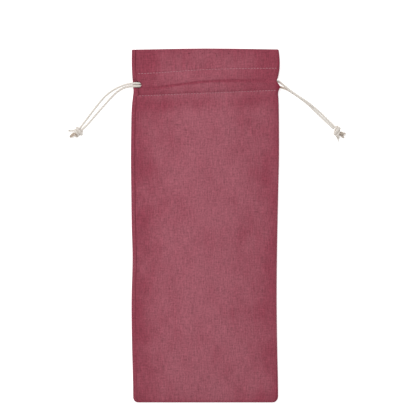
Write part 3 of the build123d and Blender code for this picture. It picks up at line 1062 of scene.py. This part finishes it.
seam_steps = np.array([0, 0.12, 0.28, 0.5, 0.8, 1.2, 1.8, 2.7, 3.8])
holes = (np.array(PIN_HOLES_X)[:, None] + PIN_STEPS).ravel()


def columns(panel, with_holes):
    """Places across a panel from its seam to its other seam."""
    inner = spread_out(-66.0, 66.0, 1.45)
    inner = without_near(inner, np.array([0.0]), 0.3)
    if with_holes:
        inner = without_near(inner, holes * panel, 0.35)
    near_fold = FLAT - np.array([4.0, 2.7, 1.6, 0.8, 0.0])
    flat = np.concatenate([-FLAT + seam_steps, inner, near_fold]) / FLAT
    return np.concatenate([flat, np.linspace(1, 2, 15)[1:], 3 - np.array([0.7, 0.4, 0.15, 0.0])])


bottom_turn = np.linspace(math.pi / 2, 0, 9)
bottom_rows = -TOP + BOTTOM_ROUND * (1 - np.sin(bottom_turn))
bottom_rows[0] = -TOP + 0.0005
BODY_ROWS = np.concatenate([
    bottom_rows,
    spread_out(-178.0, -160, 1.0),
    spread_out(-158.3, 108, 1.75),
    spread_out(109.2, 129, 1.1),
    spread_out(129.6, LOWER_STITCH, 0.55),
])
MOUTH_ROUND = 0.7
hole_rows = TOP - PIN_HOLE_DOWN + PIN_STEPS
NECK_ROWS = np.concatenate([
    spread_out(LOWER_STITCH, 157.0, 0.5),
    spread_out(157.45, 162.4, 0.45),
    without_near(spread_out(163.2, TOP - MOUTH_ROUND, 0.85), hole_rows, 0.2),
])
print(len(BODY_ROWS), "rows in the body and", len(NECK_ROWS), "in the neck")

# %% [markdown]
# At the mouth the cloth turns over and goes back down inside as a hem, which is what makes the channel
# for the cords. The turn is half a circle over the edge. Each sheet also carries three amounts of
# painted shade: one for the red deepened towards the side folds, the neck and the hollow between the
# cords, one for how close it is to a fold's rim, and one for how deep it lies in a seam groove, needle
# hole or the slit.

# %% The panels' grids
GROOVE_DEPTH = 0.22


def panel_grid(panel, v, mouth):
    """Outside and inside points, outward directions, map and shades of a panel's rows."""
    c = columns(panel, mouth)
    c_grid, v_grid = np.meshgrid(c, v)
    points = panel_point(panel, c_grid, v_grid)
    directions = panel_normal(panel, c_grid, v_grid)
    surface = surface_map(panel, c_grid, v_grid)
    if mouth:
        turn = np.linspace(0, math.pi, 11)[1:, None, None]
        base = points[-1]
        out = directions[-1]
        up = np.array([0.0, 1.0, 0.0])
        over = base - out * MOUTH_ROUND * (1 - np.cos(turn)) + up * MOUTH_ROUND * np.sin(turn)
        points = np.concatenate([points, over])
        directions = np.concatenate([directions, out * np.cos(turn) + up * np.sin(turn)])
        rolled = surface[-1] + np.array([0.0, MOUTH_ROUND]) * turn
        surface = np.concatenate([surface, rolled])
        c_grid = np.concatenate([c_grid, np.repeat(c_grid[-1:], len(turn), 0)])
        v_grid = np.concatenate([v_grid, v_grid[-1:] + MOUTH_ROUND * np.sin(turn[..., 0])])
    x = points[..., 0] * panel
    seam_gap = np.where(c_grid < 0, (1 + c_grid) * FLAT, np.where(c_grid > 2, (3 - c_grid) * PAST_FOLD, 9.0))
    groove = bell(seam_gap, 0.42)
    hole = 0.0
    if mouth:
        for hole_x in PIN_HOLES_X:
            apart = np.hypot(points[..., 0] - hole_x, v_grid - (TOP - PIN_HOLE_DOWN))
            hole = hole + np.where(c_grid < 1, bell(apart, 0.42), 0.0)
    bottom = bell(v_grid + TOP, 0.35) if not mouth else 0.0
    dent = GROOVE_DEPTH * groove + 0.75 * hole + 0.3 * bottom
    outside = points - directions * dent[..., None]
    inside = points - directions * np.maximum(CLOTH, dent + 0.1)[..., None]
    # painted shade: the colour turns darker red towards the side folds and along the bottom edge
    along_edge = np.clip((np.abs(x) - (half_width("left", v_grid) - 2.5)) / 2.4, 0, 1)
    low_rim = bell(v_grid + TOP, 1.9)
    slit = along_slit(SLITS[panel], v_grid) if mouth else np.zeros_like(v_grid)
    at_slit = np.clip(slit / 2, 0, 1) * bell(seam_gap, 2.2) * (c_grid < 0)
    stronger_up = 0.35 + 0.65 * np.clip((v_grid + 110) / 90, 0, 1)
    # painted shade: the first amount darkens the rims, the second deepens the red towards the side folds, the
    # neck, the hollow between the cords and the bottom, the third darkens seam grooves, needle holes and the
    # slit
    shades = {
        "rim": np.clip(0.85 * along_edge ** 1.6 + 0.95 * low_rim, 0, 1),
        "pressing_and_shade": np.clip(0.75 * (np.abs(x) / FLAT) ** 2.4 + (0.32 if mouth else 0.0)
                           + 0.25 * bell(v_grid - TOP, 4.0) + 0.4 * bell(v_grid - 126.0, 8.0)
                           + 0.5 * bell(v_grid - 171.0, 9.0) * bell(points[..., 0] + 64.0, 14.0)
                           + 0.9 * valley(x * panel, v_grid) + 0.2 * bell(v_grid + TOP, 12.0), 0, 1.3),
        "shade": np.clip(0.8 * bell(seam_gap, 0.38) * stronger_up
                         + 0.95 * np.clip(hole, 0, 1) + 0.45 * at_slit, 0, 1),
    }
    return outside, inside, directions, surface, shades, c


sheets = {}
for panel, panel_name in ((-1, "back"), (1, "front")):
    for zone, v in (("body", BODY_ROWS), ("neck", NECK_ROWS)):
        outside, inside, directions, surface, shades, c = panel_grid(panel, v, zone == "neck")
        middle = int(np.argmin(np.abs(c)))
        for half, places in ((-panel, slice(0, middle + 1)), (panel, slice(middle, None))):
            name = f"{panel_name}_{zone}_{HALF_NAMES[half]}"
            piece = sheet_mesh(name, outside[:, places], inside[:, places], directions[:, places],
                               surface[:, places], {k: s[:, places] for k, s in shades.items()})
            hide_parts(panel_name + ("_panel" if zone == "body" else "_neck"))
            follow(piece, half, zone)
            length = TOP + LOWER_STITCH if zone == "body" else TOP - LOWER_STITCH + 2
            width = SEAM_HALF if half == -panel else FOLD_HALF
            sheets[name] = (piece, (width * MM, length * MM), [])
            print(name, len(piece.data.polygons), "faces")


# %% [markdown]
# ## Hems and seam allowances
#
# The hems lie inside the panels: close under the cloth where it is stitched, and further in between
# the stitch lines, where they make room for the cords. Each is the panel's own surface moved straight
# into the bag. The seam allowances are the panel's surface moved in against its outward direction,
# which keeps them parallel to the cloth; they are two plies thick.

# %% Hems
HEM_FOOT = 133.4
HEM_EDGE = 66.0
HEM_TRIM = 27.0      # mm by which a hem stands back where the cords turn
TRIM_ROWS = {-1: (136, 138, 154, 156), 1: (134.5, 135.5, 150, 152)}
CLOSE = 0.52
MOUTH_HEM = 2 * MOUTH_ROUND - CLOTH
HEM_LEVEL = {1: 4.4, -1: 3.35}  # height of the hem's outside under the front cords and over the back ones


def hem_depth(panel, c, v):
    """Cloth surface to the hem: close at the stitches, and down to its own level between them."""
    open_share = (1 - bell(v - LOWER_STITCH, 1.15)) * (1 - bell(v - UPPER_STITCH, 2.6))
    room = np.maximum(np.abs(panel_point(panel, c, v)[..., 2] - HEM_LEVEL[panel]) - CLOSE, 0.0)
    inside = (v > LOWER_STITCH) & (v < UPPER_STITCH)
    return np.where(inside, CLOSE + room * open_share, np.where(v > UPPER_STITCH, MOUTH_HEM, CLOSE))


def trimmed(world_half, v):
    """How far a hem stands back from the side fold where the cords pass."""
    return np.interp(v, TRIM_ROWS[world_half], (0.0, HEM_TRIM, HEM_TRIM, 0.0))


def inner_sheet(name, panel, c, v, depth, thickness, upright=False):
    """A sheet inside a panel, from a depth below its outside to that depth and a thickness.

    The depth runs against the panel's outward direction, or straight into the bag if upright.
    """
    points = panel_point(panel, c, v)
    directions = panel_normal(panel, c, v)
    if upright:
        directions = np.broadcast_to(np.array([0.0, 0.0, float(panel)]), directions.shape)
    depth = np.broadcast_to(depth, c.shape)[..., None]
    # a little painted shade on the hidden sheets
    shades = {"rim": 0.0, "pressing_and_shade": 0.3, "shade": 0.0}
    return sheet_mesh(name, points - directions * depth, points - directions * (depth + thickness),
                      directions, surface_map(panel, c, v), shades)


hem_rows = np.concatenate([spread_out(HEM_FOOT, 140.0, 0.4), spread_out(140.8, 154.0, 0.9),
                           spread_out(154.5, 162.0, 0.45), spread_out(163.0, TOP - MOUTH_ROUND, 1.2)])
for panel, panel_name in PANEL_NAMES.items():
    for half in (-1, 1):
        share = np.linspace(0, 1, 44)
        share_grid, v_grid = np.meshgrid(share, hem_rows)
        x = share_grid * (HEM_EDGE - trimmed(half, v_grid))
        c_grid = panel * half * x / FLAT
        name = f"{panel_name}_turned_hem_{HALF_NAMES[half]}"
        piece = inner_sheet(name, panel, c_grid, v_grid, hem_depth(panel, c_grid, v_grid), CLOTH, True)
        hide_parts(panel_name + "_hem")
        follow(piece, half, "neck")
        sheets[name] = (piece, (HEM_EDGE * MM, (TOP - HEM_FOOT) * MM), [])
print("four hem sheets")

# %% [markdown]
# At a slit the cloth's edge is turned in and pressed, so a short strip lies right under it. The
# allowances run down the seams below the neck and along the bottom.

# %% Slit edges and allowances
SLIT_SIDES = ((1, "left", -1), (-1, "right", 1))  # panel, side and half of each open slit
SLIT_EDGE_WIDTH = 4.2
SLIT_FOOT = 136.6
ALLOWANCE = 9.0
for panel, side, half in SLIT_SIDES:
    across = -1 + np.linspace(0.12, SLIT_EDGE_WIDTH, 12) / FLAT
    c_grid, v_grid = np.meshgrid(across, spread_out(SLIT_FOOT, SLITS[panel][0][-2], 0.6))
    piece = inner_sheet(side + "_slit_edge", panel, c_grid, v_grid, CLOTH + 0.04, CLOTH)
    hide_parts(side + "_slit_hem")
    follow(piece, half, "neck")
    sheets[f"{PANEL_NAMES[panel]}_neck_{side}"][2].append(piece)

    across = -1 + np.linspace(0.15, ALLOWANCE, 10) / FLAT
    c_grid, v_grid = np.meshgrid(across, spread_out(-167.5, 130.0, 2.4))
    piece = inner_sheet(side + "_side_allowance", panel, c_grid, v_grid, CLOSE, 2 * CLOTH)
    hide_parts(side + "_seam_allowance")
    follow(piece, half, "body")
    sheets[f"{PANEL_NAMES[panel]}_body_{side}"][2].append(piece)

c_grid, v_grid = np.meshgrid(spread_out(-68.0, 68.0, 2.0) / FLAT, spread_out(-177.8, -169.0, 1.1))
foot_allowance = inner_sheet("foot_allowance", -1, c_grid, v_grid, CLOSE, 2 * CLOTH)
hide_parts("bottom_seam_allowance")
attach(foot_allowance, "bag")
sheets["back_body_left"][2].append(foot_allowance)
print("two slit edges and three allowances")

# %% [markdown]
# ## Thread
#
# The stitches are a lighter, shinier thread that lies on the cloth and dips into it at both ends. One
# stitch is a bent, flattened rod with a few faces, and a whole row of them is worked out at once.
# The same function lays the overlock thread over the raw edges of the allowances.

# %% Thread material
THREAD_COLOUR = (0.45, 0.185, 0.225, 1.0)
THREAD_DARK = (0.35, 0.12, 0.155, 1.0)


def thread_material():
    """Two-ply polyester thread: fine slanting stripes along each stitch."""
    material, surface = begin("sewing_thread")
    across = surface.part(0)
    along = surface.part(1)
    plies = ((along * (PER_MM * 9.0)) + (across * (PER_MM * 6.0))).math("SINE") * 0.5 + 0.5
    uneven = surface.noise(3.0, 3.0)
    colour = (plies * 0.35 + uneven * 0.5).mix(THREAD_COLOUR, THREAD_DARK)
    bump = plies.bump(0.4, 0.00005)
    return end(material, surface, {
        "Base Color": colour,
        "Roughness": uneven * 0.15 + 0.5,
        "Normal": bump,
        "Sheen Weight": 0.2,
        "Specular IOR Level": 0.35,
    })


sewing_thread = thread_material()
print("thread material ready")

# %% [markdown]
# A stitch drawn as a flat dash looks printed on. Its ends have to sink into the cloth, so each is a ring
# carried along a short line that follows the panel and dips below it at both ends.

# %% Stitches
STITCH_STEPS = 7
STITCH_SIDES = 6
THREAD_WIDE = 0.32
THREAD_TALL = 0.15
STITCH_DIP = 0.26    # how far the ends go down
STITCH_MAP = 1.3     # half a stitch on its surface map


def stitch_mesh(name, panel, starts, finishes, depth=0.0, rise=0.09):
    """Rods over a panel from starts to finishes, each place being (across, up) in mm.

    A rod's middle follows the cloth, rise above it; height falls as the fourth power towards both
    ends, so that they go into the cloth. depth is how far inside the panel the rods lie.
    """
    t = np.linspace(-1, 1, STITCH_STEPS)
    places = (starts[:, None] + finishes[:, None]) / 2 + t[None, :, None] * (finishes - starts)[:, None] / 2
    c = places[..., 0] * panel / FLAT
    middle = panel_point(panel, c, places[..., 1])
    out = panel_normal(panel, c, places[..., 1])
    middle = middle + out * (rise - depth - STITCH_DIP * t ** 4)[None, :, None]
    side = unit(np.cross(np.gradient(middle, axis=1), out))
    angle = np.linspace(0, 2 * math.pi, STITCH_SIDES, endpoint=False)
    slim = (1 - 0.75 * t ** 6)[None, :, None, None]
    wide = THREAD_WIDE * np.cos(angle)[:, None] * side[:, :, None]
    tall = THREAD_TALL * np.sin(angle)[:, None] * out[:, :, None]
    grid = middle[:, :, None] + slim * (wide + tall)
    faces = rod_faces(len(grid), STITCH_STEPS, STITCH_SIDES, inside_out=True)
    along = np.broadcast_to(t[None, :, None], grid.shape[:3])
    turned = np.broadcast_to(angle[None, None], grid.shape[:3])
    surface = np.stack([turned * THREAD_WIDE, along * STITCH_MAP], -1)
    piece = make_mesh(name, grid, faces, surface, sewing_thread)
    return piece


stitch_rng = np.random.default_rng(23)
STITCH_PITCH = 3.0
STITCH_LONG = 2.72
ROW_TO_SEAM = 69.6
ROW_TO_FOLD = 74.0


def row_across(half, limit, v):
    """Starts and finishes of a straight row from the middle to a limit at one side, slightly uneven."""
    starts = np.arange(0.3, limit - STITCH_LONG, STITCH_PITCH)
    wobble = stitch_rng.normal(0, 0.06, (2, len(starts)))
    a = np.stack([half * starts, v + wobble[0]], 1)
    b = np.stack([half * (starts + STITCH_LONG), v + wobble[1]], 1)
    return a, b


for panel, panel_name in PANEL_NAMES.items():
    for seam, v in (("upper", UPPER_STITCH), ("lower", LOWER_STITCH)):
        for half in (-1, 1):
            starts, finishes = row_across(half, ROW_TO_SEAM if half == -panel else ROW_TO_FOLD, v)
            piece = stitch_mesh(f"{panel_name}_{seam}_stitches_{HALF_NAMES[half]}", panel, starts, finishes)
            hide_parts(f"{panel_name}_{seam}_stitching")
            follow(piece, half, "neck")
print("eight half rows of stitches")

# %% [markdown]
# Inside, a row of stitches joins the plies of each allowance, and a slanting thread binds its raw edge.

# %% Stitches inside
INSIDE = CLOSE + 2 * CLOTH
SUNK = -0.12         # the thread lies pressed into the plies
EDGE_STITCHES = 2.1
SEAM_FOOT = -166.0
FOOT_SEAM = -176.2
FOOT_EDGE = -173.2


def thread_inside(name, node, panel, across, up, step):
    """A row of rods inside a panel, from places (across, up) by the same step."""
    starts = np.stack(np.broadcast_arrays(across, up), 1)
    piece = stitch_mesh(name, panel, starts, starts + step, INSIDE, SUNK)
    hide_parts(node)
    return piece


seam_up = np.arange(SEAM_FOOT, 129.0 - STITCH_LONG, STITCH_PITCH)
edge_up = np.arange(SEAM_FOOT, 128.0, EDGE_STITCHES)
for panel, side, half in SLIT_SIDES:
    seam_x = half * (FLAT - 1.4)
    edge_x = half * (FLAT - ALLOWANCE + 0.2)
    seam = thread_inside(side + "_seam_thread", side + "_seam_stitching", panel, seam_x, seam_up,
                         (0.0, STITCH_LONG))
    edge = thread_inside(side + "_edge_thread", side + "_overlock", panel, edge_x, edge_up,
                         (half * 3.6, 1.1))
    follow(seam, half, "body")
    follow(edge, half, "body")

foot_x = np.arange(-66.0, 62.0, STITCH_PITCH)
foot_seam = thread_inside("foot_seam_thread", "bottom_seam_stitching", -1, foot_x, FOOT_SEAM,
                          (STITCH_LONG, 0.0))
foot_x = np.arange(-66.0, 65.0, EDGE_STITCHES)
foot_edge = thread_inside("foot_edge_thread", "bottom_overlock", -1, foot_x, FOOT_EDGE, (1.1, 3.8))
for piece in (foot_seam, foot_edge):
    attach(piece, "bag")
print("six rows of thread inside")

# %% How many sheets there are
print(len(sheets), "sheets declared")
